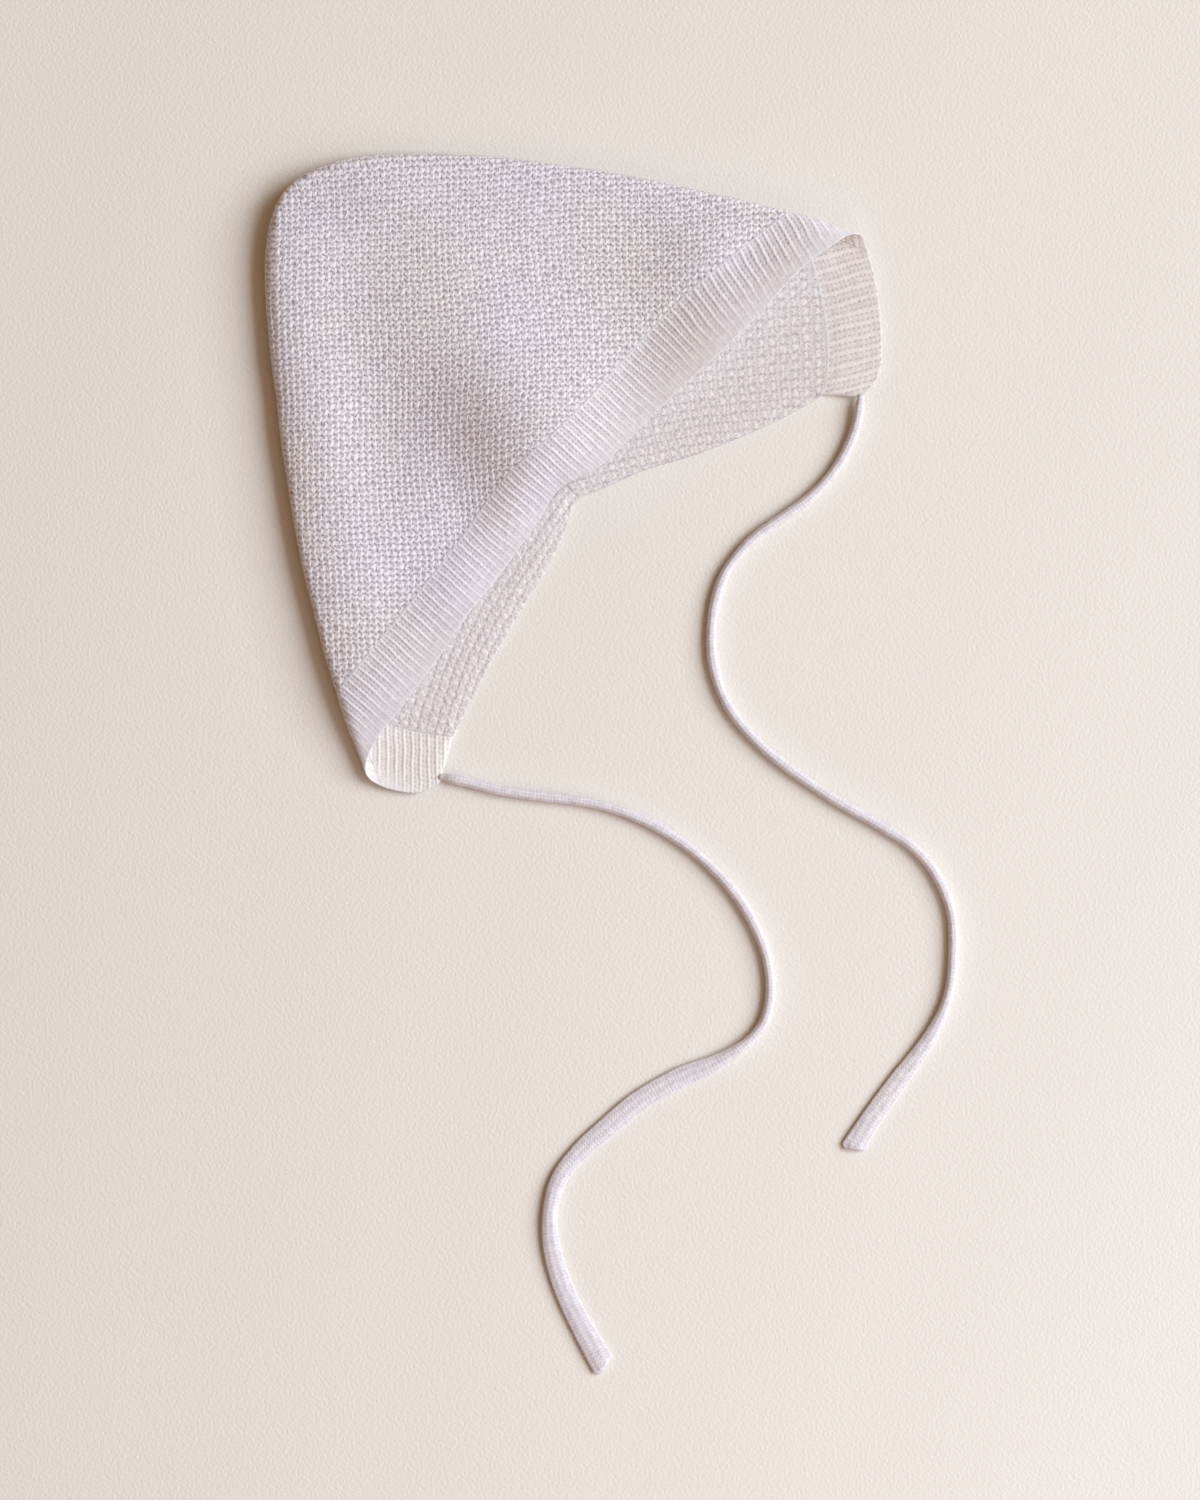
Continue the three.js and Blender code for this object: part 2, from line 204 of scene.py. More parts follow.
# Ribs in the upper layer lean and spread out towards the right end of the band.
RIB_LEAN = math.tan(math.radians(16))
LEAN_SPAN = (0.03, 0.105)       # x between which they come to lean that much
LEAN_FROM_Y = -0.028            # the crown's rim, where they start
SPREAD = 0.2                    # how much farther apart they stand
SPREAD_FROM_X = 0.06            # and from where on
RIB_FOLD_RUN = 0.3              # how they go on over a fold, sideways, for each metre of cloth


# ---- Smooth tables ----
def hermite(before, low, high, after, t):
    """Smooth value from low to high, with slopes from the rows on either side."""
    slope_low, slope_high = (high - before) / 2, (after - low) / 2
    t2, t3 = t * t, t * t * t
    return (low * (2 * t3 - 3 * t2 + 1) + slope_low * (t3 - 2 * t2 + t)
            + high * (3 * t2 - 2 * t3) + slope_high * (t3 - t2))


def blend_rows(rows, places):
    """Rows of a table blended smoothly at places counted in rows."""
    last = len(rows) - 1
    k = np.clip(np.floor(places).astype(int), 0, last - 1)
    around = [rows[np.clip(k + step, 0, last)] for step in (-1, 0, 1, 2)]
    return hermite(*around, (places - k)[:, None])


def root_depth(y):
    """Depth below the tip, as a root, so that the rounded tip gets closer rows."""
    return np.sqrt(np.maximum(TIP_Y - y, 0))


def plan_at(y):
    """Half width and middle of the pocket at y."""
    root, roots = root_depth(y), root_depth(PLAN[:, 0])
    last = len(PLAN) - 1
    k = np.clip(np.searchsorted(roots, root), 1, last)
    t = (root - roots[k - 1]) / (roots[k] - roots[k - 1])
    before = np.where(k == 1, -PLAN[k, 1], PLAN[np.maximum(k - 2, 0), 1])
    half = hermite(before, PLAN[k - 1, 1], PLAN[k, 1], PLAN[np.minimum(k + 1, last), 1], t)
    return half, PLAN[k - 1, 2] * (1 - t) + PLAN[k, 2] * t


def swell_at(x, y):
    """Height of the upper layer's swells."""
    height = np.zeros_like(x)
    for centre_x, centre_y, along, across, turn, rise in SWELLS:
        cos, sin = math.cos(math.radians(turn)), math.sin(math.radians(turn))
        dx, dy = x - centre_x, y - centre_y
        far = ((dx * cos + dy * sin) / along) ** 2 + ((dy * cos - dx * sin) / across) ** 2
        height += rise * np.exp(-far / 2)
    return height


def waver(x, y, size, seed, waves=7):
    """Smooth irregular number from about -1 to 1 that changes over that size."""
    chance = np.random.default_rng(seed)
    total = np.zeros_like(x)
    for turn, phase, pace in chance.uniform((0, 0, 0.6), (math.tau, math.tau, 1.5), (waves, 3)):
        total += np.sin((x * math.cos(turn) + y * math.sin(turn)) * math.tau * pace / size + phase)
    return total / math.sqrt(waves)


def ease(value, start, end):
    """0 up to start, 1 from end, and smooth between them."""
    t = np.clip((value - start) / (end - start), 0, 1)
    return t * t * (3 - 2 * t)


# ---- Middle surfaces of the cloth ----
def stations_at(u):
    """Turn, share and rim at places around the opening: the band first, then the neck edge."""
    u = np.mod(u, RING_END)
    rows = np.where((u < BAND_END)[:, None],
                    blend_rows(BAND_STATIONS[:, :3], np.minimum(u, BAND_END)),
                    blend_rows(NECK_SIDE, np.maximum(u - BAND_END, 0)))
    return rows[:, 0], np.clip(rows[:, 1], -1, 1), rows[:, 2]


def pocket_point(turn, share, y):
    """Middle of the pocket's cloth."""
    half, middle = plan_at(y)
    closed = np.tanh(half / FOLD_RADIUS)
    angle = np.radians(turn)
    bend = FOLD_WIDTH * closed
    x = middle + (half - bend) * share + bend * np.cos(angle) * np.sign(share)
    z = WALL / 2 + FOLD_RADIUS * (1 + closed * np.sin(angle))
    upper = np.maximum(np.sin(angle), 0) * (1 - share ** LIFT_POWER) * np.tanh(half / LIFT_WIDTH)
    pressed = np.where(share > 0, ease(y, *RIGHT_SAG), 1) * closed * share ** SAG_POWER
    z += upper * swell_at(x, y) - SAG * pressed * (1 + np.sin(angle)) / 2
    return np.stack([x, y, z], axis=-1)


def crown_middle(u, down):
    """Middle of the crown's cloth: down is 0 at the tip and 1 at the rim."""
    turn, share, rim = stations_at(u)
    return pocket_point(turn, share, TIP_Y - (root_depth(rim) * down) ** 2)


def band_middle(u, across):
    """Middle of the band's cloth: it leaves the rim along the crown's slope and bends to the edge."""
    u = np.clip(u, 0, BAND_END)
    turn, share, rim_y = stations_at(np.minimum(u, BAND_END - 1e-6))
    edge = blend_rows(BAND_STATIONS[:, 3:], u)
    rim = pocket_point(turn, share, rim_y)
    slope = (pocket_point(turn, share, rim_y - RIM_STEP) - rim)[:, 2] / RIM_STEP
    run = np.linalg.norm((edge - rim)[:, :2], axis=1)
    t = (SEAM_GAP / run + (1 - SEAM_GAP / run) * across)[:, None]
    point = rim * (1 - t) + edge * t
    point[:, 2] += (slope * run - (edge - rim)[:, 2]) * t[:, 0] * (1 - t[:, 0]) ** 2
    return point


def with_normal(surface, u, v, step_u=0.02, step_v=0.002):
    """Points of a middle surface, their outward normals and the way towards the edge."""
    v = np.broadcast_to(v, u.shape)
    along = surface(u + step_u, v) - surface(u - step_u, v)
    down = surface(u, v + step_v) - surface(u, v - step_v)
    normal = np.cross(along, down)
    return surface(u, v), unit(normal), unit(down)


def run_length(points, spacing=1.0):
    """Length of the way through points up to each of them, counted in spacings."""
    return np.concatenate([[0], np.cumsum(np.linalg.norm(np.diff(points, axis=0), axis=1) / spacing)])


def unit(vectors):
    """Vectors made one long."""
    return vectors / np.maximum(np.linalg.norm(vectors, axis=-1, keepdims=True), 1e-12)


# ---- Where each stitch lies ----
def fan(x, y, centre_x, centre_y, radius, stretch):
    """Place across and along columns of stitches that run round a centre."""
    reach = np.hypot(x - centre_x, y - centre_y)
    angle = np.arctan2(y - centre_y, x - centre_x)
    return np.stack([reach, (angle - math.pi / 2) * radius / stretch], axis=-1)


def seed_lattice(u, points, outside):
    """Place on the seed stitch, in metres across the columns and along them."""
    turn, share, _ = stations_at(u)
    x, y = points[:, 0], points[:, 1]
    half, middle = plan_at(y)
    closed = np.tanh(half / FOLD_RADIUS)
    arc = (FOLD_WIDTH + FOLD_RADIUS) / 2 * closed * np.radians(90 - turn)
    flat_x = middle + (half - FOLD_WIDTH * closed) * share
    upper = np.stack([flat_x + FOLD_RUN[0] * arc * np.sign(share), y + FOLD_RUN[1] * arc], axis=-1)
    right, left = fan(x, y, *RIGHT_FAN), fan(x, y, *LEFT_FAN)
    lower = np.where((x > middle - FANS_MEET)[:, None], right, left)
    place = np.where((turn > (UPPER_FADE if outside else 0))[:, None], upper, lower)
    sway = np.stack([waver(x, y, 0.011, 3), waver(x, y, 0.013, 4)], axis=-1)
    drift = np.stack([waver(x, y, 0.07, 5), waver(x, y, 0.09, 6)], axis=-1)
    return place + SEED_SWAY * sway + SEED_DRIFT * drift


def rib_lattice(u, points, from_rim):
    """Place on the ribs, in metres across them and along them from the crown's rim."""
    turn, share, _ = stations_at(np.minimum(u, BAND_END - 1e-6))
    x, y = points[:, 0], points[:, 1]
    side = np.sign(share)
    arc = FOLD_RADIUS * np.radians(90 - turn) * side
    lean = RIB_LEAN * ease(x, *LEAN_SPAN)
    spread = SPREAD * np.maximum(x - SPREAD_FROM_X, 0)
    upper = x - spread + RIB_FOLD_RUN * arc - lean * (y - LEAN_FROM_Y)
    way = np.where(side > 0, LOWER_RIB_WAY[1], LOWER_RIB_WAY[-1])
    close = np.where(side > 0, LOWER_RIB_CLOSE[1], LOWER_RIB_CLOSE[-1])
    lower = (y * np.cos(way) - x * np.sin(way)) * close
    place = np.stack([np.where(turn > UPPER_FADE, upper, lower), from_rim], axis=-1)
    sway = np.stack([waver(x, y, 0.016, 8), waver(x, y, 0.012, 9)], axis=-1)
    return place + RIB_SWAY * sway


# ---- Relief of the stitches, from 0 in the deepest gap to 1 on the yarn ----
def seed_relief(place, ridged):
    """Seed stitch: bars and gaps in turn, like a draught board.

    Where ridged is 1, as on the inside, the columns stand out and the board is weaker."""
    columns = np.cos(place[:, 0] * math.pi / WALE)
    rows = np.cos(place[:, 1] * math.pi / COURSE)
    board = (0.5 - 0.3 * ridged) * columns * rows
    return 0.5 + board + (0.08 - 0.08 * ridged) * rows + 0.2 * ridged * columns


def rib_relief(place, rib, course):
    """Ribs: a smooth ridge, then a valley crossed by bars, with holes between them."""
    across = place[:, 0] * math.tau / rib
    along = place[:, 1] * math.tau / course
    ridge = 0.5 + 0.5 * np.cos(across)
    holes = (0.5 - 0.5 * np.cos(2 * across)) ** 2 * (0.5 + 0.5 * np.cos(along)) ** 2
    bars = (1 - ridge) * (0.5 - 0.5 * np.cos(along))
    return 0.25 + 0.55 * ridge + 0.2 * bars - 0.25 * holes


def plain_relief(place, wale, course):
    """Smooth knitting: columns of small V's."""
    across = place[:, 0] * math.tau / wale
    leg = np.abs(((place[:, 0] / wale) % 1) - 0.5)
    along = (place[:, 1] / course + leg * 1.4) * math.tau
    return 0.45 - 0.35 * np.cos(across) + 0.2 * np.sin(along)


# ---- Meshes ----
def zip_rings(upper, lower):
    """Triangles between two closed rings, each a list of vertex numbers and their places from 0 to 1."""
    (ids_a, at_a), (ids_b, at_b) = upper, lower
    ids_a, ids_b = [*ids_a, ids_a[0]], [*ids_b, ids_b[0]]
    at_a, at_b = [*at_a, 1.0], [*at_b, 1.0]
    a = b = 0
    faces = []
    while a < len(ids_a) - 1 or b < len(ids_b) - 1:
        a_left, b_left = a < len(ids_a) - 1, b < len(ids_b) - 1
        if a_left and (not b_left or at_a[a + 1] + at_a[a] <= at_b[b + 1] + at_b[b]):
            if ids_a[a] != ids_a[a + 1]:
                faces.append((ids_a[a], ids_a[a + 1], ids_b[b]))
            a += 1
        else:
            if ids_b[b] != ids_b[b + 1]:
                faces.append((ids_a[a], ids_b[b + 1], ids_b[b]))
            b += 1
    return faces


def tube_faces(count, size):
    """Quads of a closed tube of count rings with size vertices each, and a flat strip over each end."""
    faces = []
    for k in range(count - 1):
        for i in range(size):
            after = (i + 1) % size
            faces.append((k * size + i, k * size + after, (k + 1) * size + after, (k + 1) * size + i))
    for first in (0, (count - 1) * size):
        for i in range(size // 2 - 1):
            faces.append((first + i, first + i + 1, first + size - 2 - i, first + size - 1 - i))
    return faces


def make_piece(name, points, faces, stitches, material):
    """Smooth mesh object with its stitches kept at every vertex.

    Each has three numbers: the place across and along the knitting, and its side, which is 0 outside,
    1 inside and 2 at a free edge."""
    points = np.array(points)
    points[:, 2] = np.maximum(points[:, 2], REST)
    mesh = bpy.data.meshes.new(name)
    mesh.from_pydata(points.tolist(), [], faces)
    place = mesh.attributes.new("stitch", "FLOAT_VECTOR", "POINT")
    place.data.foreach_set("vector", np.asarray(stitches, dtype=np.float32).ravel())
    shape = bmesh.new()
    shape.from_mesh(mesh)
    bmesh.ops.recalc_face_normals(shape, faces=shape.faces)
    shape.to_mesh(mesh)
    shape.free()
    mesh.shade_smooth()
    mesh.materials.append(material)
    piece = bpy.data.objects.new(name, mesh)
    bpy.context.scene.collection.objects.link(piece)
    return piece


# ---- Materials ----
STITCH_SPOTS = 430.0    # spots of unevenness to a metre: one for every few stitches
FIBRE_SPOTS = 2600.0    # the same for the fibres of the yarn
TONE_SPOTS = 24.0       # and for patches of paler and warmer yarn


class Shade:
    """A number inside a material. Arithmetic on it adds Math nodes."""

    def __init__(self, finish, socket):
        self.finish = finish
        self.socket = socket

    def math(self, operation, *others):
        """Math node on this number and the others."""
        inputs = dict(enumerate((self, *others)))
        node = self.finish.node("ShaderNodeMath", {"operation": operation}, inputs)
        return Shade(self.finish, node.outputs[0])

    def __add__(self, other):
        return self.math("ADD", other)

    def __sub__(self, other):
        return self.math("SUBTRACT", other)

    def __rsub__(self, other):
        return self * -1 + other

    def __mul__(self, other):
        return self.math("MULTIPLY", other)

    def __pow__(self, other):
        return self.math("POWER", other)

    __radd__ = __add__
    __rmul__ = __mul__


class Finish:
    """A material and its nodes."""

    def __init__(self, name, roughness, sheen):
        self.material = bpy.data.materials.new(name)
        self.material.use_nodes = True
        self.nodes = self.material.node_tree.nodes
        self.links = self.material.node_tree.links
        self.shader = self.nodes["Principled BSDF"]
        self.shader.inputs["Roughness"].default_value = roughness
        self.shader.inputs["Sheen Weight"].default_value = sheen
        self.shader.inputs["Sheen Roughness"].default_value = 0.5
        self.shader.inputs["Specular IOR Level"].default_value = 0.2

    def node(self, kind, settings, inputs):
        """A node of that type, with its settings made first, then its sockets' values or links."""
        node = self.nodes.new(kind)
        for name, value in settings.items():
            setattr(node, name, value)
        for slot, value in inputs.items():
            self.put(node.inputs[slot], value)
        return node

    def put(self, slot, value):
        """Gives a socket a link or a value."""
        source = value.socket if isinstance(value, Shade) else value
        if isinstance(source, bpy.types.NodeSocket):
            self.links.new(source, slot)
        else:
            slot.default_value = source

    def stitch(self):
        """Place across and along the columns of stitches, and the side, from 0 outside to 2 at an edge."""
        place = self.node("ShaderNodeAttribute", {"attribute_name": "stitch"}, {})
        parts = self.node("ShaderNodeSeparateXYZ", {}, {0: place.outputs["Vector"]})
        return [Shade(self, parts.outputs[axis]) for axis in range(3)]

    def cloud(self, scale, detail):
        """Noise with that many spots to a metre."""
        space = self.node("ShaderNodeTexCoord", {}, {})
        inputs = {"Vector": space.outputs["Object"], "Scale": scale, "Detail": detail}
        return self.node("ShaderNodeTexNoise", {}, inputs)

    def noise(self, scale, detail):
        """Smooth noise from 0 to 1 in the object's own space."""
        return Shade(self, self.cloud(scale, detail).outputs[0])

    def noises(self, scale, detail):
        """Three such numbers that have nothing to do with each other."""
        parts = self.node("ShaderNodeSeparateColor", {}, {0: self.cloud(scale, detail).outputs["Color"]})
        return [Shade(self, parts.outputs[channel]) for channel in range(3)]

    def mix(self, amount, first, second):
        """Colour from first to second."""
        node = self.node("ShaderNodeMix", {"data_type": "RGBA"}, {0: amount, 6: first, 7: second})
        return node.outputs[2]

    def clamp(self, value):
        """The value, kept between 0 and 1."""
        node = self.node("ShaderNodeClamp", {}, {0: value})
        return Shade(self, node.outputs[0])

    def finish(self, colour, height, depth):
        """Colour and relief of the surface: height is from 0 to 1, depth its size in metres."""
        self.put(self.shader.inputs["Base Color"], colour)
        bump = self.node("ShaderNodeBump", {}, {"Strength": 1.0, "Distance": depth, "Height": height})
        self.put(self.shader.inputs["Normal"], bump.outputs[0])
        return self.material


def knit_material(name, settings, disorder, relief):
    """Matt yarn: its own colour on the top of each stitch, painted shade down in the gaps, and a drift of
    tone over the cloth.

    relief gives the height of the stitches from the three numbers kept with them. disorder is how far they
    wander. At a free edge the colour is darkened further, as painted shade."""
    finish = Finish(name, roughness=0.95, sheen=0.25)
    finish.shader.inputs["Subsurface Weight"].default_value = settings.glow
    finish.shader.inputs["Subsurface Radius"].default_value = (1.0, 0.85, 0.75)
    finish.shader.inputs["Subsurface Scale"].default_value = settings.depth
    across, along, inner = finish.stitch()
    sway, swing, pull = finish.noises(STITCH_SPOTS, 1.0)
    across = across + (sway - 0.5) * disorder
    along = along + (swing - 0.5) * disorder
    # Painted shade at a free edge: the height is lowered there, so the colour goes towards the gap shade
    # colour.
    edge_shade_drop = finish.clamp(inner - 1.0) * settings.painted_edge_shade
    height = relief(across, along, inner) + (pull - 0.5) * 0.5 - edge_shade_drop
    fibre = finish.noise(FIBRE_SPOTS, 3.0) - 0.5
    tone = finish.clamp(finish.noise(TONE_SPOTS, 3.0) * 2.4 - 0.7)
    cool = finish.mix(tone, (*settings.yarn, 1), (*settings.yarn_warm, 1))
    # The inside takes its warmer colour, which is painted warm bounce light.
    inside = finish.mix(inner, cool, (*settings.yarn_inside_bounce, 1))
    # Painted shade: the lower the stitch's relief, the nearer its colour comes to the gap shade colour.
    unshaded_share = finish.clamp(height + fibre * 0.5)
    colour = finish.mix(unshaded_share, (*settings.gap, 1), inside)
    return finish.finish(colour, height + fibre * 0.25, settings.bump)


def wave(number, pace, shift=0.0):
    """Cosine of a number, which repeats every pace."""
    return (number * (math.tau / pace) + shift).math("COSINE")


# ---- Settings ----
def colour_setting(name, description, default):
    """A colour that a user can change."""
    return bpy.props.FloatVectorProperty(name=name, description=description, default=default,
                                         subtype="COLOR", size=3, min=0, max=1)


def length_setting(name, description, default):
    """A length that a user can change."""
    return bpy.props.FloatProperty(name=name, description=description, default=default,
                                   unit="LENGTH", min=0, precision=5)


def share_setting(name, description, default):
    """A share from 0 to 1 that a user can change."""
    return bpy.props.FloatProperty(name=name, description=description, default=default,
                                   subtype="FACTOR", min=0, max=1)


def power_setting(name, description, default):
    """The power of a lamp, which a user can change."""
    return bpy.props.FloatProperty(name=name, description=description, default=default,
                                   unit="POWER", min=0)


class YarnSettings(bpy.types.PropertyGroup):
    """Colours that all knitted pieces share."""

    yarn: colour_setting("Yarn", "Colour of the yarn on the outside", (0.86, 0.815, 0.90))
    yarn_warm: colour_setting("Warm yarn", "Colour that the yarn drifts to in places",
                              (0.895, 0.84, 0.845))
    # Painted warm bounce light: the inside is painted warmer than the outside, though both are the same
    # yarn.
    yarn_inside_bounce: colour_setting("Inside yarn", "Colour of the yarn on the inside", (0.87, 0.80, 0.775))
    # Painted shade: colour that the yarn is painted in the gaps between stitches, where shade falls.
    gap: colour_setting("Gaps", "Colour deep between the stitches", (0.42, 0.37, 0.41))
    bump: length_setting("Fine relief", "Depth of the fine relief of the yarn", 0.00028)
    depth: length_setting("Light depth", "How far light spreads inside the yarn", 0.002)
    glow: share_setting("Glow", "Share of the light that spreads inside the yarn", 0.4)
    disorder: length_setting("Disorder", "How far stitches wander from their even places", 0.0022)
    # Painted shade: how much darker a free edge is painted.
    painted_edge_shade: share_setting("Edge gaps", "How open the loops at a free edge are", 0.45)


class CrownSettings(bpy.types.PropertyGroup):
    """Sizes of the seed-stitch crown."""

    spacing: length_setting("Mesh spacing", "Distance between vertices on the upper layer", 0.00062)
    coarse: length_setting("Hidden spacing", "Distance between vertices where the cloth is hidden",
                           0.003)
    relief: length_setting("Stitch relief", "Height of the stitches", 0.0002)


class BandSettings(bpy.types.PropertyGroup):
    """Sizes of the ribbed face band."""

    rib: length_setting("Rib spacing", "Distance from one rib to the next", 0.00285)
    course: length_setting("Course", "Height of one row of the ribs", 0.00175)
    relief: length_setting("Rib relief", "Height of the ribs", 0.0002)
    spacing: length_setting("Mesh spacing", "Distance between vertices along the band", 0.00042)
    thin: length_setting("Cast edge", "How much thinner the cloth is at the cast edge", 0.0019)


class TieSettings(bpy.types.PropertyGroup):
    """Sizes of the ties."""

    diameter: length_setting("Diameter", "Thickness of the curled tie", 0.0036)
    flat_left: length_setting("Left end width", "Width of the left tie where it lies flat", 0.0074)
    flat_right: length_setting("Right end width", "Width of the right tie where it lies flat", 0.007)
    slant: length_setting("Slant", "How far one corner of a free end reaches past its middle", 0.0012)
    flat_height: length_setting("End height", "Height of the ties where they lie flat", 0.0021)
    relief: length_setting("Stitch relief", "Height of the stitches", 0.00009)


class StageSettings(bpy.types.PropertyGroup):
    """Floor and light."""

    floor: colour_setting("Floor", "Colour of the floor", (0.80, 0.745, 0.69))
    key_colour: colour_setting("Key light", "Colour of the window light", (0.788, 0.898, 0.985))
    key_power: power_setting("Key power", "Power of the window light", 355)
    side_colour: colour_setting("Side light", "Colour of the weak light from one side", (0.86, 0.87, 1.0))
    side_power: power_setting("Side power", "Power of the weak light from one side", 2.6)
    fill_colour: colour_setting("Fill light", "Colour of the light from all round", (1.0, 0.62, 0.33))
    fill_strength: bpy.props.FloatProperty(name="Fill strength", default=0.276, min=0,
                                           description="Strength of the light from all round")


# ---- Crown ----
SHOWS = (-75, -35)      # turns between which the lower layer's outside goes from hidden to seen
NECK_ROWS = 0.98        # place down the crown from which it thins out towards the neck edge
GROWN = (0.02, 0.12)    # places between which the stitches reach their full height, below the tip
WING = (0.80, 0.88)     # places between which they do inside, where the lower layer shows
NECK_TURNS = (30, 60, 90, 120, 150)     # rows that go round the neck edge, in degrees
RIM_RELIEF = 0.6        # share of the stitches' height that is left at the rim
SMALLEST_RING = 14      # fewest vertices in a ring, near the tip


def crown_rows(spacing):
    """Places down the crown, from the tip to the rim, about spacing apart in the upper layer."""
    fine = np.linspace(0, 1, 4000)
    y = TIP_Y - (root_depth(BAND_STATIONS[MIDDLE_STATION, 2]) * fine) ** 2
    half, _ = plan_at(y)
    length = np.concatenate([[0], np.cumsum(np.hypot(np.diff(y), 0.5 * np.diff(half)))])
    count = round(length[-1] / spacing)
    return [*np.interp(np.linspace(0, length[-1], count + 1), length, fine)[:-1], 1 - EDGE_ROW, 1]


def ring_places(down, upper_spacing, lower_spacing):
    """Places around one ring of the crown, closer together where the cloth shows."""
    u = np.linspace(0, RING_END, 500)
    points = crown_middle(u, down)
    turn, _, _ = stations_at((u[1:] + u[:-1]) / 2)
    spacing = lower_spacing + (upper_spacing - lower_spacing) * ease(turn, *SHOWS)
    length = run_length(points, spacing)
    count = max(round(length[-1]), SMALLEST_RING)
    return np.interp(np.arange(count) / count * length[-1], length, u)


def neck_share(u):
    """1 along the neck edge, 0 where the band goes on from the crown."""
    return ease(u, BAND_END, BAND_END + NECK_BLEND) * (1 - ease(u, RING_END - NECK_BLEND, RING_END))


def crown_ring(u, down, side, relief, angle=0.0):
    """Points of one ring on the outside (side 1) or inside (side -1) of the crown, and its stitches.

    angle is how far the ring is round the neck edge, and the cloth thins out towards that edge."""
    middle, normal, onward = with_normal(crown_middle, u, np.full_like(u, down))
    wall = WALL / 2 * (1 - NECK_THINNING * neck_share(u) * ease(np.full_like(u, down), NECK_ROWS, 1))
    half_wall = wall * abs(math.cos(angle))
    beyond = wall * neck_share(u) * math.sin(angle)
    place = seed_lattice(u, middle, side > 0)
    ridged = np.full_like(u, 1.0 if side < 0 else 0.0)
    height = (seed_relief(place, ridged) - 0.5) * relief
    height *= 1 + 0.25 * waver(middle[:, 0], middle[:, 1], 0.03, 11)
    points = middle + normal * (side * (half_wall + height))[:, None] + onward * beyond[:, None]
    return points, np.column_stack([place, ridged + (2 - ridged) * neck_share(u) * math.sin(angle)])


def build_crown(settings, yarn):
    """Seed-stitch pocket: rings of points run down the outside, round the edge and back up the inside."""
    material = knit_material("seed_stitch_yarn", yarn, yarn.disorder, seed_shade)
    rings = []

    def add(u, points, stitches):
        """Keeps a ring with its places around the opening, from 0 to 1."""
        rings.append((u / RING_END, points, stitches))

    outer_rows = crown_rows(settings.spacing)[1:]
    tip = np.array([[PLAN[0, 2], TIP_Y + WALL / 2, WALL / 2 + FOLD_RADIUS]])
    add(np.zeros(1), tip, np.zeros((1, 3)))
    for down in outer_rows:
        u = ring_places(down, settings.spacing, settings.coarse)
        grown = settings.relief * float(ease(np.array(down), *GROWN))
        add(u, *crown_ring(u, down, 1, grown))
    # The rim: flat where the band goes on, round along the neck edge.
    for angle in NECK_TURNS:
        side = 1 if angle <= 90 else -1
        u = ring_places(1.0, settings.spacing, settings.spacing * 1.1)
        add(u, *crown_ring(u, 1.0, side, settings.relief * RIM_RELIEF, math.radians(angle)))
    # The inside: close rows where the lower layer shows, and wide ones where it is hidden.
    seen_rows, hidden_rows = np.linspace(0.997, 0.86, 61), np.linspace(0.83, 0.10, 26)
    for down in (1, 1 - EDGE_ROW, *seen_rows, *hidden_rows, 0.07, 0.05):
        wing = settings.spacing if down >= seen_rows[-1] else settings.coarse * 0.8
        u = ring_places(down, settings.coarse * 1.6, wing)
        fade = float(ease(np.array(down), *WING))
        add(u, *crown_ring(u, down, -1, settings.relief * fade))
    deepest = rings[-1][1].mean(axis=0)
    add(np.zeros(1), deepest[None], np.zeros((1, 3)))

    points, stitches, faces, start, previous = [], [], [], 0, None
    for places, ring, stitch in rings:
        ids = list(range(start, start + len(ring)))
        if previous:
            faces += zip_rings(previous, (ids, list(places)))
        previous = (ids, list(places))
        start += len(ring)
        points.append(ring)
        stitches.append(stitch)
    return make_piece("crown_knit", np.vstack(points), faces, np.vstack(stitches), material)


def seed_shade(across, along, inner):
    """Seed stitch as the material sees it: bars, and between them pairs of legs with a hollow at their foot,
    where the colour gets painted shade.

    The chains slant over the board, and ridges along the columns take its place on the inside."""
    rows = wave(along, 2 * COURSE)
    board = wave(across, 2 * WALE) * rows
    knit = 0.5 - board * 0.5
    # How deep the hollow at the legs' foot is; the material paints it with painted shade.
    gap = knit ** 3.0
    legs = wave(across, WALE, math.pi) * knit
    arches = wave(along + wave(across, WALE) * (COURSE * 0.16), COURSE)
    lean = wave(across * (1 / WALE) - along * (1 / COURSE), 2)
    chains = wave(across * (1 / WALE) + along * (1 / COURSE) + lean * 0.25, 2)
    seeds = (board - gap) * 0.15 + legs * 0.24 + arches * 0.20 + rows * 0.06 + chains * 0.13
    ridges = (wave(across, 2 * WALE) * 0.16 - (board - gap) * 0.10 - chains * 0.09) * inner
    return (seeds + ridges) * (1 - inner * 0.38) + 0.67 - inner * 0.03


# ---- Face band ----
BAND_ROWS = 34          # rows of the mesh across the band
END_RINGS = 6           # rings over which each end of the band is rounded off
BAND_TURNS = np.radians((22, 45, 68, 90))   # rows that go round the cast edge
BAND_DISORDER = 0.25    # how far its stitches wander, as a share of what the crown's do


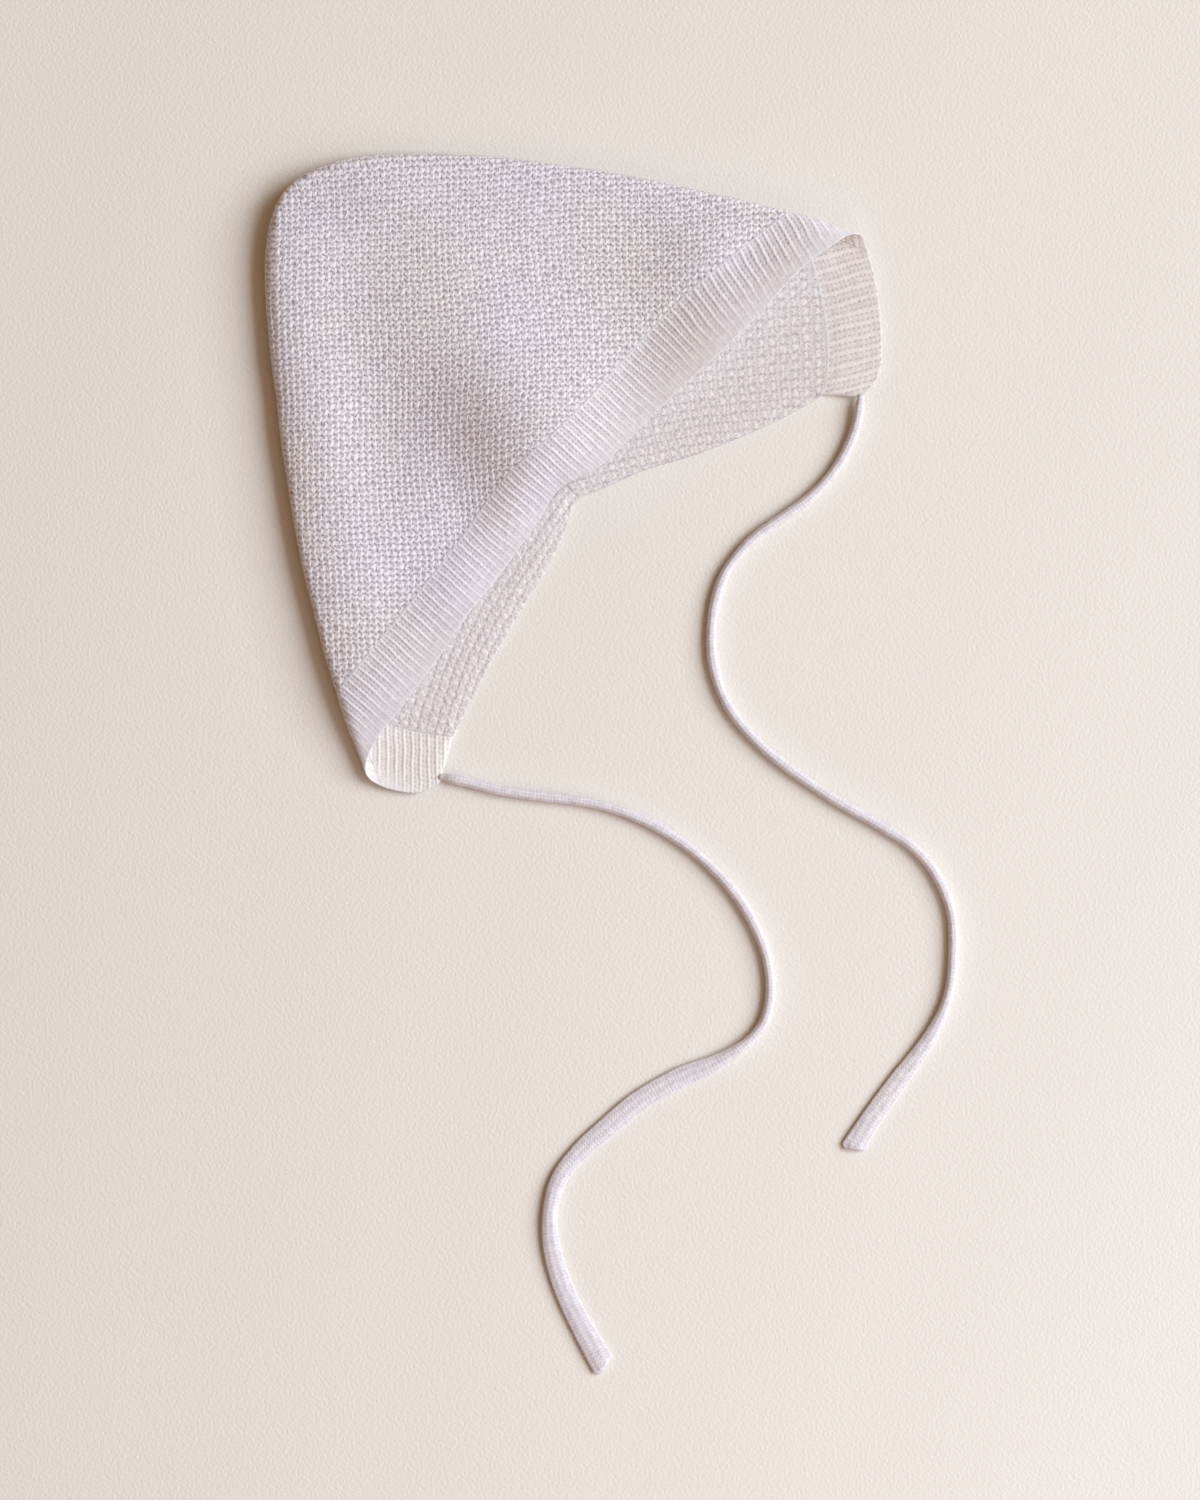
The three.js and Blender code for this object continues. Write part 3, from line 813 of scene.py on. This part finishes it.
def build_band(settings, yarn):
    """Ribbed band: a closed section that runs from the right tie's corner to the left tie's corner."""
    rib, course = settings.rib, settings.course

    def rib_shade(across, along, inner):
        """Ribs as the material sees them: deep next to the crown, and flatter towards the cast edge."""
        clamp = across.finish.clamp
        deep = clamp(along * -90.0 + 1.75 + inner) * clamp(along * 900.0)
        lines = wave(across, rib / 2)
        legs = wave(along + lines * (course * 0.2), course, math.pi)
        holes = (0.5 - lines * 0.5) ** 2.0 * (0.5 + legs * 0.5) ** 2.0
        ribs = wave(across, rib) * 0.17 + lines * 0.1 + legs * 0.08 - holes * 0.6
        # Painted light: the inside of the band is painted paler, by inner * 0.13.
        return ribs * (deep * 0.8 + 0.2) * (1 - inner * 0.2) + 0.79 + inner * 0.13

    material = knit_material("rib_yarn", yarn, yarn.disorder * BAND_DISORDER, rib_shade)
    fine = np.linspace(0, BAND_END, 2000)
    length = run_length(band_middle(fine, 0.6))
    count = round(length[-1] / settings.spacing)
    u = np.interp(np.linspace(0, length[-1], count + 1), length, fine)

    # Each row: share across, share of the wall's thickness, and how far past the edge.
    upper = [(share, 1.0, 0.0) for share in (0, 0.003, *np.linspace(0.03, 1, BAND_ROWS))]
    upper += [(1.0, math.cos(angle), math.sin(angle)) for angle in BAND_TURNS]
    lower = [(share, -thick, past) for share, thick, past in reversed(upper[:-1])]
    section = [(0.0, 0.0, 0.0), *upper, *lower]

    ends = np.minimum(u / u[1], (BAND_END - u) / (BAND_END - u[-2]))
    rounded = np.sqrt(1 - np.clip(1 - ends / END_RINGS, 0, 0.98) ** 2)
    rim_normal = with_normal(crown_middle, u, 1.0)[1]
    grid, stitch_grid = [], []
    for share, thick, past in section:
        middle, normal, onward = with_normal(band_middle, u, share)
        normal = unit(rim_normal + (normal - rim_normal) * ease(share, 0.0, 0.15))
        place = rib_lattice(u, middle, np.linalg.norm(middle - crown_middle(u, 1.0), axis=1))
        thicker = (BAND_WALL - WALL) * ease(share, 0.0, 0.3)
        half = (WALL + thicker - settings.thin * ease(share, 0.2, 1.0)) / 2
        pressed = ease(share, 0.0, 0.06) * (1 - 0.8 * ease(share, 0.6, 0.85))
        relief = (rib_relief(place, rib, course) - 0.5) * settings.relief * pressed
        offset = np.sign(thick) * (half * abs(thick) + relief * abs(thick)) * rounded
        grid.append(middle + normal * offset[:, None] + onward * (past * half * rounded)[:, None])
        side = 2.0 if past > 0 else float(thick < 0)
        stitch_grid.append(np.column_stack([place, np.full_like(u, side)]))
    points = np.stack(grid, axis=1).reshape(-1, 3)
    stitches = np.stack(stitch_grid, axis=1).reshape(-1, 3)
    return make_piece("face_band_knit", points, tube_faces(len(u), len(section)), stitches, material)


# ---- Ties ----
TIE_WALES = 8           # columns of stitches around a tie
TIE_SIDES = 32          # sides of its section
TIE_COURSE = 0.00125    # height of one of its stitches
TIE_STEP = 0.0006       # distance between its rings
TIE_ROUND = 0.96        # height of the curled tie as a share of its thickness
OPENING = 0.035         # length over which it opens out flat
PINCH = (0.7, 0.017)    # how far it closes again at the pinch, and over what length
START = 0.006           # length over which it widens from the band's corner
START_WIDTH = 0.6       # width there, as a share
FLARE = (0.15, 0.012)   # how much wider it is at its free end, and over what length
END_ROUND = 0.0012      # length over which each end is rounded off
RAGGED = 0.0025         # length over which the free end is uneven
RAGGED_SIZE = 0.0004    # and how much
# The inside colour holds painted warm bounce light; the ties take a fifth of it.
TIE_SIDE = 0.2          # colour between outside yarn, 0, and inside yarn, 1
TIE_DISORDER = 0.4      # how far its stitches wander, as a share of what the crown's do


def smooth_route(route, spacing):
    """Points about spacing apart on a smooth curve through a route."""
    rows = np.array(route)
    fine = blend_rows(rows, np.linspace(0, len(rows) - 1, len(rows) * 60))
    length = run_length(fine)
    at = np.linspace(0, length[-1], round(length[-1] / spacing) + 1)
    return np.column_stack([np.interp(at, length, fine[:, axis]) for axis in range(3)]), at


def build_tie(name, route, width, flat_from, pinch, settings, yarn, seed):
    """Curled knitted tie that opens out flat towards its free end, and closes up again at the pinch."""

    def plain_shade(across, along, inner):
        """Smooth knitting as the material sees it: faint columns, crossed by small V's."""
        rows = wave(along + wave(across, WALE / 2) * (TIE_COURSE * 0.2), TIE_COURSE)
        return 0.66 - wave(across, WALE) * 0.07 + rows * 0.1

    material = knit_material(name + "_yarn", yarn, yarn.disorder * TIE_DISORDER, plain_shade)
    centre, at = smooth_route(route, TIE_STEP)
    to_end = at[-1] - at
    closing, closing_length = PINCH
    pinched = closing * np.exp(-((at - pinch) / closing_length) ** 2)
    open_flat = ease(at, flat_from, flat_from + OPENING) * (1 - pinched)
    started = START_WIDTH + (1 - START_WIDTH) * ease(at, 0, START)
    uneven = (1 + 0.05 * waver(at, at * 0, 0.03, seed)) * started
    flare, flare_length = FLARE
    flared = 1 + flare * np.exp(-to_end / flare_length)
    half_width = (settings.diameter + (width - settings.diameter) * open_flat) / 2 * uneven * flared
    curled = settings.diameter * TIE_ROUND
    half_height = (curled + (settings.flat_height - curled) * open_flat) / 2 * started
    lying = np.where(centre[:, 2] > LAID + REST / 2, 1, half_height + 2 * REST)
    centre[:, 2] = np.minimum(centre[:, 2], lying)
    onward = unit(np.gradient(centre, axis=0))
    sideways = unit(np.cross(onward, (0, 0, 1)))
    upward = np.cross(sideways, onward)
    rounded = np.sqrt(1 - np.clip(1 - np.minimum(at + TIE_STEP, to_end) / END_ROUND, 0, 0.8) ** 2)
    ragged = np.exp(-to_end / RAGGED)
    along = at + 0.0002 * waver(at, at, 0.01, seed)
    grid, stitches = [], []
    for side in range(TIE_SIDES):
        angle = (side + 0.5) / TIE_SIDES * math.tau
        cos, sin = math.cos(angle), math.sin(angle)
        place = np.column_stack([np.full_like(at, side / TIE_SIDES * TIE_WALES * WALE), along])
        lift = (plain_relief(place, WALE, TIE_COURSE) - 0.5) * settings.relief
        lift += ragged * RAGGED_SIZE * math.sin(3 * angle + seed)
        out_width, out_height = (half_width + lift) * rounded * cos, (half_height + lift) * rounded * sin
        slanted = centre + onward * (ragged * cos * settings.slant)[:, None]
        grid.append(slanted + sideways * out_width[:, None] + upward * out_height[:, None])
        stitches.append(np.column_stack([place, np.full_like(at, TIE_SIDE)]))
    points = np.stack(grid, axis=1).reshape(-1, 3)
    stitches = np.stack(stitches, axis=1).reshape(-1, 3)
    return make_piece(name + "_knit", points, tube_faces(len(at), TIE_SIDES), stitches, material), centre


# ---- Operators ----
# The camera looks straight down: its right and its up, along the floor, and the point it aims at.
VIEW_RIGHT, VIEW_UP = Vector((0.670, -0.743, 0)), Vector((0.743, 0.670, 0))
VIEW_AIM = Vector((-0.0656, -0.1117, 0))
VIEW_HEIGHT = 0.5175    # what it takes in, from the lowest to the highest point of the view
VIEW_DISTANCE = 2.5
SENSOR = 36.0           # millimetres

# Lamps: turn from the view's right, height above the floor, both in degrees, distance and size.
KEY_PLACE = (12, 38, 5.0, 3.7)
SIDE_PLACE = (-48, 42, 1.0, 0.7)
FLOOR_SIZE = 24
FLOOR_PATCH = 0.015     # how far the floor's colour varies
FLOOR_GRAIN = 0.0002    # depth of its fine grain


class BONNET_OT_stage(bpy.types.Operator):
    """Floor, camera, window light and soft fill"""

    bl_idname = "bonnet.stage"
    bl_label = "Stage"

    def execute(self, context):
        settings = context.scene.bonnet_stage
        camera_data = bpy.data.cameras.new("camera")
        camera_data.lens = SENSOR * VIEW_DISTANCE / VIEW_HEIGHT
        camera_data.sensor_width = SENSOR
        camera = bpy.data.objects.new("camera", camera_data)
        turned = Matrix((VIEW_RIGHT, VIEW_UP, (0, 0, 1))).transposed().to_4x4()
        camera.matrix_world = Matrix.Translation(VIEW_AIM + Vector((0, 0, VIEW_DISTANCE))) @ turned
        context.scene.collection.objects.link(camera)
        context.scene.camera = camera

        bpy.ops.object.select_all(action="DESELECT")
        bpy.ops.mesh.primitive_plane_add(size=FLOOR_SIZE, location=(0, 0, 0))
        floor = context.object
        floor.name = "floor"
        finish = Finish("floor_paint", roughness=0.9, sheen=0.0)
        grain = finish.noise(900.0, 4.0)
        patches = finish.noise(6.0, 2.0)
        darker, paler = [(*(part * (1 + change) for part in settings.floor), 1)
                         for change in (-FLOOR_PATCH, FLOOR_PATCH)]
        tone = finish.mix(finish.clamp(grain * 0.5 + patches * 0.5), darker, paler)
        floor.data.materials.append(finish.finish(tone, grain, FLOOR_GRAIN))

        lamps = (
            ("window_light", KEY_PLACE, settings.key_power, settings.key_colour),
            ("side_light", SIDE_PLACE, settings.side_power, settings.side_colour),
        )
        for name, (bearing, elevation, reach, size), power, colour in lamps:
            lamp_data = bpy.data.lights.new(name, "AREA")
            lamp_data.shape = "SQUARE"
            lamp_data.size = size
            lamp_data.energy = power
            lamp_data.color = colour
            lamp = bpy.data.objects.new(name, lamp_data)
            turn, tilt = math.radians(bearing), math.radians(elevation)
            way = (VIEW_RIGHT * math.cos(turn) + VIEW_UP * math.sin(turn)) * math.cos(tilt)
            way.z = math.sin(tilt)
            lamp.location = VIEW_AIM + way * reach
            lamp.rotation_mode = "QUATERNION"
            lamp.rotation_quaternion = way.to_track_quat("Z", "Y")
            lamp.visible_camera = False
            context.scene.collection.objects.link(lamp)

        world = bpy.data.worlds.new("room")
        world.use_nodes = True
        background = world.node_tree.nodes["Background"]
        background.inputs["Color"].default_value = (*settings.fill_colour, 1)
        background.inputs["Strength"].default_value = settings.fill_strength
        context.scene.world = world
        context.scene.view_settings.view_transform = "Standard"
        return {"FINISHED"}


class BONNET_OT_ties(bpy.types.Operator):
    """Right and left ties, laid in loose curves on the floor"""

    bl_idname = "bonnet.ties"
    bl_label = "Ties"

    def execute(self, context):
        settings, yarn = context.scene.bonnet_tie, context.scene.bonnet_yarn
        # Name, route, width where flat, where along the tie it starts to open out, its pinch, and seed.
        ties = (
            ("right_tie", RIGHT_ROUTE, settings.flat_right, 0.265, 0.0, 21),
            ("left_tie", LEFT_ROUTE, settings.flat_left, 0.165, 0.262, 22),
        )
        for name, route, width, flat_from, pinch, seed in ties:
            piece, centre = build_tie(name, route, width, flat_from, pinch, settings, yarn, seed)
            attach(piece, "root")
            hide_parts(name)
        return {"FINISHED"}


class BONNET_OT_crown(bpy.types.Operator):
    """Seed-stitch crown, a pocket that is open at the face and the neck"""

    bl_idname = "bonnet.crown"
    bl_label = "Crown"

    def execute(self, context):
        piece = build_crown(context.scene.bonnet_crown, context.scene.bonnet_yarn)
        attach(piece, "root")
        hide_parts("crown")
        return {"FINISHED"}


class BONNET_OT_face_band(bpy.types.Operator):
    """Ribbed band along the face edge"""

    bl_idname = "bonnet.face_band"
    bl_label = "Face band"

    def execute(self, context):
        piece = build_band(context.scene.bonnet_band, context.scene.bonnet_yarn)
        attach(piece, "root")
        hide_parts("face_band")
        return {"FINISHED"}


class BONNET_PT_panel(bpy.types.Panel):
    """Pieces of the bonnet and their settings"""

    bl_idname = "BONNET_PT_panel"
    bl_label = "Bonnet"
    bl_space_type = "VIEW_3D"
    bl_region_type = "UI"
    bl_category = "Bonnet"

    def draw(self, context):
        for operator in OPERATORS:
            self.layout.operator(operator.bl_idname)
        for name in SETTINGS:
            box = self.layout.box()
            settings = getattr(context.scene, name)
            for key in settings.__annotations__:
                box.prop(settings, key)


OPERATORS = (BONNET_OT_stage, BONNET_OT_ties, BONNET_OT_crown, BONNET_OT_face_band)
SETTINGS = {
    "bonnet_yarn": YarnSettings,
    "bonnet_crown": CrownSettings,
    "bonnet_band": BandSettings,
    "bonnet_tie": TieSettings,
    "bonnet_stage": StageSettings,
}


def register():
    """Adds the settings, operators and panel to Blender."""
    for group in (*SETTINGS.values(), *OPERATORS, BONNET_PT_panel):
        bpy.utils.register_class(group)
    for name, group in SETTINGS.items():
        setattr(bpy.types.Scene, name, bpy.props.PointerProperty(type=group))


def unregister():
    """Takes them out again."""
    for name in SETTINGS:
        delattr(bpy.types.Scene, name)
    for group in reversed((*SETTINGS.values(), *OPERATORS, BONNET_PT_panel)):
        bpy.utils.unregister_class(group)


def main():
    """Builds everything in order."""
    register()
    bpy.ops.bonnet.stage()
    bpy.ops.bonnet.ties()
    bpy.ops.bonnet.crown()
    bpy.ops.bonnet.face_band()


if __name__ == "__main__":
    main()
